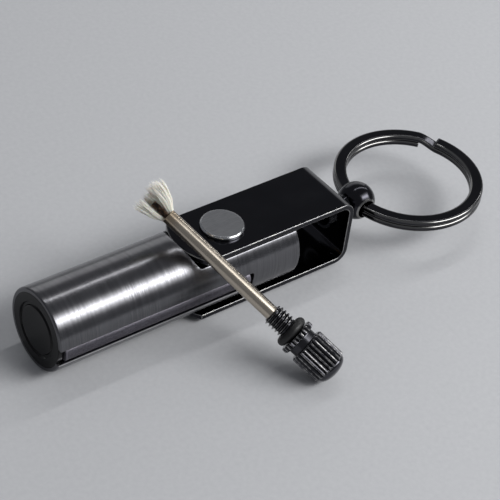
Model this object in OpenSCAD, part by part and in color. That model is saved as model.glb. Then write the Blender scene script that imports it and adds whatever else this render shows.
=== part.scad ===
// Key-ring flint lighter: a round fuel body with a striking rod along its side, a swinging strap
// with a ball swivel and a split ring, and a wick match that screws into the end of the body.
// Millimetres. +X runs along the body towards the ring, and +Z is up. The origin is on the strap's
// pivot axis, at the surface the lighter lies on.

/* [Body] */
// Diameter of the round body
body_d = 15; // [14.8:0.1:15.6]
// Length of the body
body_l = 50; // [46:1:60]
// Distance from the mouth of the body back to the strap's pivot
pivot_back = 12.5; // [12:0.25:13]
// Thickness left between the two milled flats
flats_t = 9.8; // [9.4:0.1:10]
// Radius of the curved shoulder that ends each flat, about the pivot
shoulder_r = 10.1; // [10:0.1:10.6]
// Diameter of the fuel bore
bore_d = 6.4; // [6:0.1:6.6]

/* [Flint] */
// Diameter of the ferrocerium rod
flint_d = 3.3; // [3:0.1:3.8]
// Length of the ferrocerium rod
flint_l = 38.2; // [34:0.1:38.5]
// Angle of the rod below the level of the body's axis
flint_drop = 7; // [4:1:14]

/* [Strap and pivots] */
// Width of the strap
strap_w = 12.6; // [11:0.1:13]
// Thickness of the strap's sheet
strap_t = 1; // [0.8:0.1:1]
// Distance from the pivot to the outer face of the strap's end wall
strap_reach = 25; // [24.6:0.1:27]
// Outside radius of the strap's two bends
bend_r = 2.6; // [2:0.1:3.2]
// Thickness of the washer between the body and each leg
washer_t = 0.75; // [0.7:0.05:0.8]
// Diameter of the rivet heads
rivet_d = 7.9; // [7:0.1:8.4]

/* [Swivel and ring] */
// Diameter of the swivel ball
ball_d = 7; // [6.8:0.1:7.6]
// Distance from the strap's end wall to the middle of the ball
ball_reach = 6.4; // [5.8:0.1:7]
// Outside diameter of the split ring
ring_d = 28; // [26:0.5:32]
// Width of the split ring's band
ring_w = 2.4; // [2:0.1:2.4]
// Height of the split ring's two coils together
ring_h = 2.3; // [1.8:0.1:2.3]

/* [Match] */
// Outside diameter of the match's stem tube
stem_d = 2.6; // [2.4:0.1:2.8]
// Length of the bare stem tube
stem_l = 24; // [20:0.5:25]
// Outside diameter of the match's thread
thread_d = 4; // [3.8:0.1:4.2]
// Pitch of the match's thread
thread_pitch = 0.7; // [0.5:0.1:0.8]
// Diameter of the knurled cap
cap_d = 6.7; // [6.2:0.1:7]
// Number of ridges around the cap
cap_ridges = 24; // [18:1:30]
// Length of the cotton tuft beyond the stem
tuft_l = 6.1; // [4:0.1:8]

/* [Where the match lies] */
// Slope of the match, from its cap on the table up to its wick
match_lean = 28.4; // [28:0.1:29]
// Direction in which the cap lies, seen from above
match_turn = -64.2; // [-66:0.1:-62]
// Distance from the pivot back to the open end of the match's tube
match_back = 11.5; // [11.4:0.1:12]

/* [Hidden] */
$fn = 64;

body_r = body_d / 2;
bore_r = bore_d / 2;
mouth_x = pivot_back;
tail_x = pivot_back - body_l;
flat_z = flats_t / 2;

// End plug: a thin flange let into the tail, and a spigot with a seal
flange_r = body_r - 0.8;
flange_t = 1;
spigot_l = 6;
seal_x = tail_x + 4;
seal_wire_r = 0.42;
seal_r = bore_r - seal_wire_r - 0.02;

// Bush and inner tube
bush_l = 8;
bush_bore_r = thread_d / 2 - 0.35;
guide_r = 2.1;

// Ferrocerium rod, let in flush with the round of the body
flint_r = flint_d / 2;
flint_out = body_r - flint_r;
flint_x = tail_x + flange_t + 0.2;
flint_round = 0.5;
slot_w = flint_d + 0.2;
slot_corner = 0.6;
slot_end = flint_x + flint_l + 0.35;
slot_floor = flint_out - slot_w / 2;

// Pivots, outwards from the flat: washer, leg, head
stud_r = 1.6;
stud_tip_r = 1.2;
stud_tip_l = 1.3;
slack = 0.05;
leg_in = flat_z + washer_t + slack;
leg_out = leg_in + strap_t;
head_z = leg_out + slack;
axis_z = body_r;
leg_end_r = shoulder_r - 0.4;

// Swivel
ball_x = strap_reach + ball_reach;
neck_r = 1.7;
shank_r = 1.45;
ring_hole_r = 1.75;
ring_mid_r = (ring_d - ring_w) / 2;
ring_sag = 0.18;
ring_x = ball_x + ring_mid_r - ring_sag;

// Match, measured from the open end of its tube towards the cap
thread_l = 3.6;
seal_at = stem_l + 4.5;
flange_at = stem_l + 5.4;
collar_l = 1.05;
barrel_at = flange_at + 2.4;
barrel_l = 5.7;
dome_l = 1.4;
match_seal_wire = 1.6;
cap_end = barrel_at + barrel_l;
match_z = cap_end * sin(match_lean) + (cap_d / 2) * cos(match_lean);
blade_roll = 45;

// Moves a shape built about the body's axis up to where the body lies
module on_axis() translate([0, 0, axis_z]) children();

// Moves a shape built along the match, from the open end of its tube, to where the match lies
module on_match() translate([-match_back, 0.92, match_z]) rotate([0, match_lean, match_turn])
    children();

// A cylinder along X from x, with radius r and length l
module rod_x(x, r, l) translate([x, 0, 0]) rotate([0, 90, 0]) cylinder(h = l, r = r);

// A solid of revolution about the X axis, from points [distance along x, radius]
module turned(points) rotate([0, 90, 0]) rotate_extrude()
    polygon([for (p = points) [p[1], p[0]]]);

// What is milled away above one flat, as far back as the curved shoulder
module flat_cut() translate([0, 0, flat_z]) {
    cylinder(h = body_r, r = shoulder_r, $fn = 96);
    translate([0, -body_r - 1, 0]) cube([mouth_x + 1, body_d + 2, body_r]);
}

// The slot for the ferrocerium rod: open at the tail, with small round corners at its other end
module flint_slot() rotate([flint_drop, 0, 0]) translate([0, -slot_floor, 0]) rotate([90, 0, 0])
    linear_extrude(height = body_r) {
        translate([tail_x - 1, -slot_w / 2])
            square([slot_end - slot_corner - tail_x + 1, slot_w]);
        translate([tail_x - 1, slot_corner - slot_w / 2])
            square([slot_end - tail_x + 1, slot_w - 2 * slot_corner]);
        for (s = [-1, 1]) translate([slot_end - slot_corner, s * (slot_w / 2 - slot_corner)])
            circle(r = slot_corner);
    }

module body_shell() color([0.33, 0.33, 0.35]) on_axis() difference() {
    turned([[tail_x, 0], [tail_x, body_r - 0.2], [tail_x + 0.2, body_r],
            [mouth_x - 0.3, body_r], [mouth_x, body_r - 0.3], [mouth_x, 0]]);
    for (s = [0, 180]) rotate([s, 0, 0]) flat_cut();
    rod_x(tail_x - 1, bore_r, body_l + 2);
    rod_x(tail_x - 1, flange_r, flange_t + 1);
    flint_slot();
    for (s = [-1, 1]) translate([0, 0, s * (flat_z - stud_tip_l / 2)])
        cylinder(h = stud_tip_l + 0.02, r = stud_tip_r, center = true);
}

// The black plug that closes the tail, with a ring turned into its face
module end_plug() color([0.04, 0.04, 0.05]) on_axis() turned([
    [tail_x, 0], [tail_x, 4.3], [tail_x + 0.3, 4.5], [tail_x + 0.3, 4.9], [tail_x, 5.1],
    [tail_x, flange_r - 0.25], [tail_x + 0.2, flange_r - 0.02],
    [tail_x + flange_t, flange_r - 0.02], [tail_x + flange_t, bore_r - 0.02],
    [seal_x - 0.5, bore_r - 0.02], [seal_x - 0.5, seal_r - seal_wire_r],
    [seal_x + 0.5, seal_r - seal_wire_r], [seal_x + 0.5, bore_r - 0.02],
    [tail_x + spigot_l, bore_r - 0.02], [tail_x + spigot_l, 0]]);

module plug_seal() color([0.08, 0.08, 0.08]) on_axis() translate([seal_x, 0, 0])
    rotate([0, 90, 0]) rotate_extrude() translate([seal_r, 0]) circle(r = seal_wire_r, $fn = 32);

// The brass bush that the match screws into, with a wide mouth for the match's seal
module neck_bush() color([0.72, 0.56, 0.28]) on_axis() difference() {
    rod_x(mouth_x - bush_l, bore_r, bush_l);
    rod_x(mouth_x - bush_l - 1, bush_bore_r, bush_l + 2);
    rod_x(mouth_x - 1.3, 2.75, 2);
}

// The perforated tube that the match's stem slides down
module guide_tube() color([0.75, 0.6, 0.3]) on_axis() difference() {
    rod_x(tail_x + spigot_l + 0.5, guide_r, body_l - spigot_l - bush_l - 0.5);
    rod_x(tail_x + spigot_l - 1, guide_r - 0.2, body_l);
    for (i = [0:6], turn = [0, 90]) translate([tail_x + 9 + i * 4.5, 0, 0])
        rotate([turn, 0, 0]) cylinder(h = 6, r = 0.5, center = true, $fn = 24);
}

// Cotton packed around the tube, which holds the fuel
module fuel_wadding() color([0.93, 0.92, 0.87]) on_axis() difference() {
    rod_x(tail_x + spigot_l + 0.2, bore_r - 0.02, body_l - spigot_l - bush_l - 0.4);
    rod_x(tail_x + spigot_l - 1, guide_r + 0.02, body_l);
}

module ferro_rod() color([0.4, 0.37, 0.41]) on_axis() rotate([flint_drop, 0, 0])
    translate([0, -flint_out, 0]) rotate([0, 90, 0]) rotate_extrude() union() {
        translate([0, flint_x]) polygon([[0, 0], [flint_r - 0.2, 0], [flint_r, 0.2],
            [flint_r, flint_l - flint_round], [0, flint_l - flint_round]]);
        translate([0, flint_x + flint_l - flint_round]) square([flint_r - flint_round, flint_round]);
        translate([flint_r - flint_round, flint_x + flint_l - flint_round]) intersection() {
            circle(r = flint_round);
            square(flint_round);
        }
    }

// One thin washer under a leg, with side = 1 on top and -1 below
module pivot_washer(side) on_axis() rotate([side > 0 ? 0 : 180, 0, 0])
    translate([0, 0, flat_z]) difference() {
        cylinder(h = washer_t, r = 4.5);
        translate([0, 0, -1]) cylinder(h = 3, r = stud_r);
    }

module pivot_washer_top() color([0.55, 0.55, 0.56]) pivot_washer(1);
module pivot_washer_bottom() color([0.55, 0.55, 0.56]) pivot_washer(-1);

// One shouldered rivet: a tip pressed into the flat, a shoulder for the leg and a wide flat head
module pivot_rivet(side) on_axis() rotate([side > 0 ? 0 : 180, 0, 0]) rotate_extrude($fn = 96)
    polygon([[0, flat_z - stud_tip_l], [stud_tip_r, flat_z - stud_tip_l], [stud_tip_r, flat_z],
             [stud_r, flat_z], [stud_r, head_z], [rivet_d / 2, head_z],
             [rivet_d / 2, body_r - 0.3], [rivet_d / 2 - 0.3, body_r], [0, body_r]]);

module pivot_rivet_top() color([0.5, 0.5, 0.5]) pivot_rivet(1);
module pivot_rivet_bottom() color([0.5, 0.5, 0.5]) pivot_rivet(-1);

// The strap's side view: two legs joined by the end wall through round bends
module strap_side() difference() {
    union() {
        translate([-shoulder_r, -leg_out]) square([shoulder_r + strap_reach - bend_r, 2 * leg_out]);
        translate([0, -leg_out + bend_r]) square([strap_reach, 2 * (leg_out - bend_r)]);
        for (s = [-1, 1]) translate([strap_reach - bend_r, s * (leg_out - bend_r)])
            circle(r = bend_r);
    }
    translate([-shoulder_r - 1, -leg_in])
        square([shoulder_r + 1 + strap_reach - bend_r, 2 * leg_in]);
    translate([0, -leg_out + bend_r]) square([strap_reach - strap_t, 2 * (leg_out - bend_r)]);
    for (s = [-1, 1]) translate([strap_reach - bend_r, s * (leg_out - bend_r)])
        circle(r = bend_r - strap_t);
}

// The strap's plan: straight sides, and an end rounded about the pivot
module strap_plan() union() {
    intersection() {
        circle(r = leg_end_r, $fn = 96);
        translate([-shoulder_r, -strap_w / 2]) square([shoulder_r + 1, strap_w]);
    }
    translate([0, -strap_w / 2]) square([strap_reach + 1, strap_w]);
}

module strap() color([0.12, 0.12, 0.14]) on_axis() difference() {
    intersection() {
        rotate([90, 0, 0]) linear_extrude(height = strap_w + 2, center = true) strap_side();
        linear_extrude(height = 2 * leg_out + 2, center = true) strap_plan();
    }
    cylinder(h = 2 * leg_out + 2, r = stud_r + slack, center = true);
    rod_x(strap_reach - strap_t - 1, shank_r + slack, strap_t + 2);
}

// The ball, its neck and collar, and the shank that is peened over inside the strap
module swivel_ball() color([0.2, 0.2, 0.22]) on_axis() difference() {
    union() {
        translate([ball_x, 0, 0]) sphere(r = ball_d / 2, $fn = 96);
        turned([[strap_reach - 2.1, 0], [strap_reach - 2.1, 1.9], [strap_reach - 1.8, 2.1],
                [strap_reach - 1.75, 2.1], [strap_reach - 1.75, shank_r],
                [strap_reach + 0.05, shank_r], [strap_reach + 0.05, 2.4],
                [strap_reach + 0.2, 2.55], [strap_reach + 0.8, 2.55],
                [strap_reach + 0.95, 2.4], [strap_reach + 0.95, neck_r],
                [ball_x - 2, neck_r], [ball_x - 2, 0]]);
    }
    translate([ball_x, 0, 0]) rotate([90, 0, 0])
        cylinder(h = ball_d + 2, r = ring_hole_r, center = true);
}

module swivel_washer() color([0.5, 0.5, 0.52]) on_axis() difference() {
    rod_x(strap_reach - strap_t - 0.7, 2.7, 0.65);
    rod_x(strap_reach - strap_t - 2, shank_r, 4);
}

// The split ring's two flat coils, with a fine gap showing between them inside and out
module split_ring() color([0.1, 0.1, 0.11]) on_axis() translate([ring_x, 0, 0])
    rotate_extrude($fn = 128) translate([ring_mid_r, 0]) polygon([
        for (s = [1, -1], p = [[1, 0.1], [1, 0.72], [0.72, 1], [-0.72, 1], [-1, 0.72], [-1, 0.1],
            [-0.86, 0]]) [s * p[0] * ring_w / 2, s * p[1] * ring_h / 2]]);

// The match's cap, turned and knurled in one piece with the threaded stud
module match_cap() color([0.2, 0.2, 0.22]) on_match() {
    turned([
        [stem_l - 3, 0], [stem_l - 3, stem_d / 2 - 0.25], [stem_l, stem_d / 2 - 0.25],
        [stem_l, thread_d / 2 - 0.4],
        for (i = [0:4]) each [
            [stem_l + i * thread_pitch + 0.1, thread_d / 2 - 0.4],
            [stem_l + (i + 0.5) * thread_pitch, thread_d / 2],
            [stem_l + (i + 0.5) * thread_pitch + 0.1, thread_d / 2]],
        [stem_l + thread_l, 1.4], [flange_at, 1.4], [flange_at, cap_d / 2 - 0.25],
        [flange_at + 0.2, cap_d / 2 - 0.05], [flange_at + collar_l - 0.2, cap_d / 2 - 0.05],
        [flange_at + collar_l, cap_d / 2 - 0.25], [flange_at + collar_l, cap_d / 2 - 0.8],
        [barrel_at, cap_d / 2 - 0.8], [barrel_at, 0]]);
    translate([barrel_at, 0, 0]) rotate([0, 90, 0]) linear_extrude(height = barrel_l)
        polygon([for (i = [0:2 * cap_ridges - 1]) let (r = cap_d / 2 - (i % 2) * 0.3,
            a = 180 * i / cap_ridges) [r * cos(a), r * sin(a)]]);
    turned([[cap_end, 0], [cap_end, cap_d / 2 - 0.35], [cap_end + 0.5, cap_d / 2 - 0.75],
            [cap_end + 1, cap_d / 2 - 1.6], [cap_end + dome_l, 0]]);
}

module match_stem() color([0.78, 0.74, 0.68]) on_match() difference() {
    rod_x(0, stem_d / 2, stem_l);
    rod_x(-1, stem_d / 2 - 0.25, stem_l + 2);
}

module match_o_ring() color([0.03, 0.03, 0.03]) on_match() translate([seal_at, 0, 0])
    rotate([0, 90, 0]) rotate_extrude()
    translate([1.42 + match_seal_wire / 2, 0]) circle(r = match_seal_wire / 2, $fn = 32);

// The room that the blade takes in the stem and the wick, and the blade itself
module blade_shape(grow) rotate([blade_roll, 0, 0]) translate([0, -0.75, 0.2])
    rotate([90, 0, 90]) translate([0, 0, -3.2 - grow]) linear_extrude(height = 7.2 + grow)
    square([1.1, 0.45]);

module striker_blade() color([0.25, 0.23, 0.22]) on_match() blade_shape(0);

// The cotton wick: a core inside the stem and a frayed tuft beyond it
module wick() color([0.95, 0.94, 0.9]) on_match() difference() {
    union() {
        rod_x(0, stem_d / 2 - 0.27, stem_l - 3.2);
        translate([-tuft_l, 0, 0]) rotate([0, 90, 0])
            cylinder(h = tuft_l, r1 = 3.1, r2 = stem_d / 2 - 0.27);
    }
    blade_shape(4);
}

body_shell();
end_plug();
plug_seal();
neck_bush();
guide_tube();
fuel_wadding();
ferro_rod();
pivot_washer_top();
pivot_washer_bottom();
pivot_rivet_top();
pivot_rivet_bottom();
strap();
swivel_ball();
swivel_washer();
split_ring();
match_cap();
match_stem();
match_o_ring();
striker_blade();
wick();
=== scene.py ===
import math

import bmesh
import bpy
import numpy as np
from mathutils import Matrix, Quaternion, Vector


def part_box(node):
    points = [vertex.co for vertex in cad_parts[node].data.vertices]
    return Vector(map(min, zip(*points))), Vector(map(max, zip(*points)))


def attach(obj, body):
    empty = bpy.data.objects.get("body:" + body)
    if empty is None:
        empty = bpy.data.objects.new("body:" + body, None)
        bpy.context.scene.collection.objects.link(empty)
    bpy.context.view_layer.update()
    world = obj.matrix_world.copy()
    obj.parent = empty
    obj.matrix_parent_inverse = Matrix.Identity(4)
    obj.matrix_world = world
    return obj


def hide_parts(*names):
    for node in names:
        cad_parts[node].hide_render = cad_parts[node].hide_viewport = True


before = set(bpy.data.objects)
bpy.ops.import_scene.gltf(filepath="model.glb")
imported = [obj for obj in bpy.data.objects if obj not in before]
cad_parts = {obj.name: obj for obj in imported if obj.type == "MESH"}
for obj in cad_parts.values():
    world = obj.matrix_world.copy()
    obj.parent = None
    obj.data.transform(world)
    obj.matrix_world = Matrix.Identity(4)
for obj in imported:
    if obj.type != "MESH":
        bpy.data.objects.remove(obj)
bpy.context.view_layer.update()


# ---- Camera ---------------------------------------------------------------------------------
# A long lens, a third of a metre off, looks down at 40 degrees over the tail of the lighter and
# is turned a little about its own axis, so that the body climbs from the lower left.
camera_azimuth, camera_elevation, camera_roll = (math.radians(a) for a in (-42.48, 39.98, 8.25))
camera_distance = 0.353
camera_aim = Vector((0.00474, -0.00275, 0.00894))
towards_camera = Vector((math.sin(camera_azimuth) * math.cos(camera_elevation),
                         -math.cos(camera_azimuth) * math.cos(camera_elevation),
                         math.sin(camera_elevation)))
camera = bpy.data.objects.new("camera", bpy.data.cameras.new("camera"))
camera.data.lens, camera.data.sensor_width = 145.7, 36
camera.data.clip_start = 0.01
camera.location = camera_aim + towards_camera * camera_distance
camera.rotation_mode = "QUATERNION"
camera.rotation_quaternion = (towards_camera.to_track_quat("Z", "Y")
                              @ Quaternion((0, 0, 1), camera_roll))
bpy.context.scene.collection.objects.link(camera)
bpy.context.scene.camera = camera


# ---- Table ----------------------------------------------------------------------------------
# A plain pale table with a fine matt grain. It is not part of the object.
def hex_colour(code):
    """A colour given as six sRGB hex digits, in the linear values that a shader wants."""
    srgb = np.array([int(code[i:i + 2], 16) for i in (0, 2, 4)]) / 255
    linear = np.where(srgb <= 0.04045, srgb / 12.92, ((srgb + 0.055) / 1.055) ** 2.4)
    return (*linear.tolist(), 1.0)


def add(tree, kind, inputs={}, **settings):
    """Adds a shader node. Settings are its own properties; inputs are values, or sockets or
    nodes to link from. A noise with a scale of 1000 / w makes marks about w mm across."""
    node = tree.nodes.new("ShaderNode" + kind)
    for name, value in settings.items():
        setattr(node, name, value)
    for name, value in inputs.items():
        if isinstance(value, bpy.types.Node):
            value = value.outputs[0]
        if isinstance(value, bpy.types.NodeSocket):
            tree.links.new(value, node.inputs[name])
        else:
            node.inputs[name].default_value = value
    return node


def new_finish(name):
    """An empty material of that name, and its node tree."""
    material = bpy.data.materials.new(name)
    material.use_nodes = True
    material.node_tree.nodes.clear()
    return material, material.node_tree


table_paint, tree = new_finish("pale_matt_table")
# A sprayed matt laminate: even and pale, with a grain that only just shows.
place = add(tree, "TexCoord").outputs["Object"]
speckle = add(tree, "TexNoise", {"Vector": place, "Scale": 1000 / 0.9, "Detail": 3.0})
shader = add(tree, "BsdfPrincipled", {
    "Base Color": add(tree, "Mix", {0: speckle, 6: hex_colour("B9BABD"),
        7: hex_colour("C6C7C9")}, data_type="RGBA").outputs[2],
    "Roughness": 0.75,
    "Normal": add(tree, "Bump", {"Height": speckle, "Distance": 0.00002, "Strength": 0.4})})
add(tree, "OutputMaterial", {"Surface": shader})

table_side, cells = 3.0, 8
across = np.linspace(-table_side / 2, table_side / 2, cells + 1)
table_x, table_y = np.meshgrid(across, across, indexing="ij")
table_mesh = bpy.data.meshes.new("table")
first = np.arange(cells)[:, None] * (cells + 1) + np.arange(cells)[None, :]
table_mesh.from_pydata(
    np.stack([table_x, table_y, 0 * table_x], -1).reshape(-1, 3).tolist(), [],
    (first.reshape(-1, 1) + [0, cells + 1, cells + 2, 1]).tolist())
table = bpy.data.objects.new("table", table_mesh)
bpy.context.scene.collection.objects.link(table)
table_mesh.materials.append(table_paint)


# ---- Studio light ---------------------------------------------------------------------------
# Long soft boxes hang parallel to the body, so that each one draws a band along its round side:
# a broad one in front, brighter towards its middle, a narrow one overhead and a dim one behind,
# in a grey room.
scene = bpy.context.scene
scene.view_settings.view_transform = "Standard"
scene.world = bpy.data.worlds.new("studio")
scene.world.use_nodes = True
room = scene.world.node_tree
room.nodes["Background"].inputs["Color"].default_value = hex_colour("C9CCD2")
room.nodes["Background"].inputs["Strength"].default_value = 0.34


body_middle = Vector((0, 0, 0.0075))


def soft_box(name, tilt, length, height, brightness, distance=0.6):
    """A box at `tilt` degrees from straight up towards the front, that far from the body, facing
    it and lying along it. All stand as far to the ring's end as the camera to the tail's, where
    the body's side mirrors them."""
    sideways = 0.517
    rise = math.sqrt(1 - sideways ** 2)
    towards = Vector((sideways, -rise * math.sin(math.radians(tilt)),
                      rise * math.cos(math.radians(tilt))))
    light = bpy.data.lights.new(name, "AREA")
    light.shape, light.size, light.size_y = "RECTANGLE", length, height
    light.energy = brightness * math.pi * length * height
    holder = bpy.data.objects.new(name, light)
    holder.location = body_middle + towards * distance
    facing = towards.normalized()
    side = (Vector((1, 0, 0)) - facing * facing.x).normalized()
    up = facing.cross(side)
    holder.rotation_mode = "QUATERNION"
    holder.rotation_quaternion = Matrix((side, up, facing)).transposed().to_quaternion()
    bpy.context.scene.collection.objects.link(holder)


for layer, (length, height, brightness) in enumerate([
        (0.45, 0.09, 5.0), (0.45, 0.18, 4.0), (0.55, 0.28, 2.2), (0.70, 0.42, 1.2)]):
    soft_box(f"front_box_{layer}", 43, length, height, brightness, distance=0.60 + 0.02 * layer)
soft_box("overhead_strip", -19, 0.80, 0.030, 9.0)
soft_box("back_box", -70, 0.80, 0.30, 0.8, distance=0.7)


# ---- Body shell -----------------------------------------------------------------------------
# The fuel body: a round bar, bored through, with two flats milled at the ring's end for the
# strap and a slot milled along its side for the striking rod. Plated gunmetal, then brushed
# round and round in the lathe.
MM = 0.001


def box_mm(node):
    """A CAD node's lowest and highest corners, in millimetres."""
    low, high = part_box(node)
    return np.array(low) / MM, np.array(high) / MM


def grid(points, around=None, along=None):
    """A patch: points on a grid, and the place of each on the flattened surface, in millimetres.
    Without its own numbers the flat place is the distance walked along and across the grid."""
    points = np.asarray(points, float)
    if along is None:
        step = np.linalg.norm(np.diff(points, axis=0), axis=-1)
        along = np.concatenate([np.zeros((1, points.shape[1])), np.cumsum(step, 0)])
    if around is None:
        step = np.linalg.norm(np.diff(points, axis=1), axis=-1)
        around = np.concatenate([np.zeros((points.shape[0], 1)), np.cumsum(step, 1)], 1)
    flat = np.stack([np.broadcast_to(along, points.shape[:2]),
                     np.broadcast_to(around, points.shape[:2])], -1)
    return points, flat


def build(name, patches, finish, rounds=(), crease=35, values=None):
    """One mesh from patches. Each grid of n by m points gives (n - 1) by (m - 1) quads; points
    that fall together are welded, a quad that loses a side becomes a triangle, and the faces are
    turned outwards. Each of `rounds` is a width in millimetres, a function that picks points and
    a material's number: the outer creases between those points are rounded over that width."""
    points, quads, flats, extra, start = [], [], [], [], 0
    for k, (place, flat) in enumerate(patches):
        n, m = place.shape[:2]
        index = np.arange(n * m).reshape(n, m) + start
        quads.append(np.stack([index[:-1, :-1], index[1:, :-1], index[1:, 1:], index[:-1, 1:]],
                              -1).reshape(-1, 4))
        points.append(place.reshape(-1, 3))
        flats.append(flat.reshape(-1, 2))
        if values is not None:
            extra.append(np.broadcast_to(values[k], (n, m)).reshape(-1))
        start += n * m
    points, quads, flats = np.concatenate(points), np.concatenate(quads), np.concatenate(flats)
    _, first, welded = np.unique(np.floor(points / 1e-4 + 0.2718).astype(np.int64), axis=0,
                                 return_index=True, return_inverse=True)
    corners = welded.reshape(-1)[quads]
    kept = corners != np.roll(corners, -1, 1)
    whole = ((kept.sum(1) >= 3) & (corners[:, 0] != corners[:, 2])
             & (corners[:, 1] != corners[:, 3]))
    kept &= whole[:, None]
    faces = [face[keep].tolist() for face, keep in zip(corners[whole], kept[whole])]
    mesh = bpy.data.meshes.new(name)
    mesh.from_pydata((points[first] * MM).tolist(), [], faces)
    layer = mesh.uv_layers.new(name="surface")
    layer.data.foreach_set("uv", (flats[quads[kept]] * 0.1).astype(np.float32).ravel())
    if values is not None:
        made = mesh.attributes.new("wear_and_painted_light", "FLOAT", "POINT")
        made.data.foreach_set("value", np.concatenate(extra)[first].astype(np.float32))
    shell = bmesh.new()
    shell.from_mesh(mesh)
    bmesh.ops.recalc_face_normals(shell, faces=shell.faces)
    for width, picks, material in rounds:
        shell.verts.index_update()
        picked = picks(np.array([v.co for v in shell.verts]) / MM)
        creases = [e for e in shell.edges if picked[e.verts[0].index] and e.is_manifold
                   and picked[e.verts[1].index] and e.calc_face_angle_signed() > 0.5]
        bmesh.ops.bevel(shell, geom=creases, offset=width * MM, offset_type="OFFSET", segments=3,
                        profile=0.5, affect="EDGES", clamp_overlap=False, material=material)
    shell.to_mesh(mesh)
    shell.free()
    mesh.shade_smooth()
    mesh.set_sharp_from_angle(angle=math.radians(crease))
    piece = bpy.data.objects.new(name, mesh)
    bpy.context.scene.collection.objects.link(piece)
    mesh.materials.append(finish)
    return piece


gunmetal, tree = new_finish("brushed_gunmetal")
# Gunmetal plate over brass, brushed with a grey pad on the lathe: dark and warm-neutral, sharp
# across the body and blurred along it. Real pad lines are 0.03 mm apart; here they are 0.2 mm.
place = add(tree, "TexCoord").outputs["Object"]
pad_lines = add(tree, "TexNoise", {"Vector": add(tree, "Mapping", {"Vector": place,
    "Scale": (1000 / 0.2, 1000 / 9, 1000 / 9)}), "Scale": 1.0, "Detail": 4.0})
long_lines = add(tree, "TexNoise", {"Vector": add(tree, "Mapping", {"Vector": place,
    "Scale": (1000 / 0.7, 1000 / 14, 1000 / 14)}), "Scale": 1.0, "Detail": 2.0})
handled = add(tree, "TexNoise", {"Vector": add(tree, "Mapping", {"Vector": place,
    "Scale": (1000 / 5, 1000 / 3, 1000 / 3)}), "Scale": 1.0, "Detail": 3.0})
tone = add(tree, "Mix", {0: add(tree, "MapRange", {0: pad_lines, 1: 0.3, 2: 0.7, 3: 0.0,
    4: 1.0}), 6: hex_colour("5B5B5E"), 7: hex_colour("737376")}, data_type="RGBA").outputs[2]
tone = add(tree, "Mix", {0: add(tree, "MapRange", {0: handled, 1: 0.45, 2: 0.8, 3: 0.0,
    4: 0.25}), 6: tone, 7: hex_colour("4E4D4E")}, data_type="RGBA").outputs[2]
shader = add(tree, "BsdfPrincipled", {
    "Base Color": tone, "Metallic": 1.0, "Anisotropic": 0.55,
    "Roughness": add(tree, "MapRange", {0: long_lines, 1: 0.3, 2: 0.7, 3: 0.235, 4: 0.265}),
    "Tangent": add(tree, "Tangent", direction_type="UV_MAP", uv_map="surface"),
    "Normal": add(tree, "Bump", {"Height": pad_lines, "Distance": 0.000003, "Strength": 0.08})})
add(tree, "OutputMaterial", {"Surface": shader})

slot_lip_painted_highlight, tree = new_finish("gunmetal_slot_lip_painted_highlight")
# The slot's lower lip: paler and more scattered, a painted highlight, so that the lip shows as a
# thin light line under the rod, with a few darker breaks.
place = add(tree, "TexCoord").outputs["Object"]
breaks = add(tree, "TexNoise", {"Vector": add(tree, "Mapping", {"Vector": place,
    "Scale": (1000 / 2.5, 1000 / 2, 1000 / 2)}), "Scale": 1.0, "Detail": 3.0})
shader = add(tree, "BsdfPrincipled", {
    "Base Color": add(tree, "Mix", {0: breaks, 6: hex_colour("77777A"), 7: hex_colour("C2C2C4")},
        data_type="RGBA").outputs[2],
    "Metallic": 1.0, "Roughness": 0.42})
add(tree, "OutputMaterial", {"Surface": shader})

shell_low, shell_high = box_mm("body_shell")
axis_height = (shell_low[2] + shell_high[2]) / 2
tail_x, mouth_x = shell_low[0], shell_high[0]
body_r = (shell_high[2] - shell_low[2]) / 2
bore_r = (box_mm("neck_bush")[1] - box_mm("neck_bush")[0])[2] / 2
flat_z = 4.9                                   # half the thickness between the flats
shoulder_r = 10.1                              # the curved shoulder, about the pivot
tail_ease, mouth_ease = 0.2, 0.3
pocket_r, pocket_deep = 6.7, 1.0               # for the end plug
slot_turn = math.radians(97)                   # the slot's middle, round from the top
slot_half, slot_corner = 1.75, 0.6
rod_low, rod_high = box_mm("ferro_rod")
slot_end = rod_high[0] + 0.35
slot_floor = 4.1
flat_half = math.sqrt(body_r ** 2 - flat_z ** 2)


def lift(points):
    """Carries points given about the body's axis up to where the body lies."""
    return np.asarray(points) + [0, 0, axis_height]


def round_about(x, r, turn):
    """A point x along the axis and r from it, turned from the top towards the front."""
    x, r, turn = np.broadcast_arrays(x, r, turn)
    return np.stack([x, -r * np.sin(turn), r * np.cos(turn)], -1)


# Turns of the columns: over the top flat, down the front to the slot, across the slot, on to the
# lower flat, under it, and up the back. The slot's columns bunch at its corners.
flat_turn = math.asin(flat_half / body_r)
corner_step = slot_corner * (1 - np.cos(np.linspace(0, math.pi / 2, 7)))
slot_u = np.concatenate([-slot_half + corner_step[:-1],
                         np.linspace(slot_corner - slot_half, slot_half - slot_corner, 7),
                         slot_half - corner_step[-2::-1]])


def slot_turns(r):
    """Turns at which the slot's columns meet a circle of radius r."""
    return slot_turn + np.arcsin(slot_u / r)


def skin(x, r, turns):
    """The grid of points with x[i, j] and turns[j], all r from the axis."""
    turns = np.broadcast_to(turns, x.shape)
    return grid(lift(round_about(x, r, turns)), around=turns * body_r, along=x)


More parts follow.
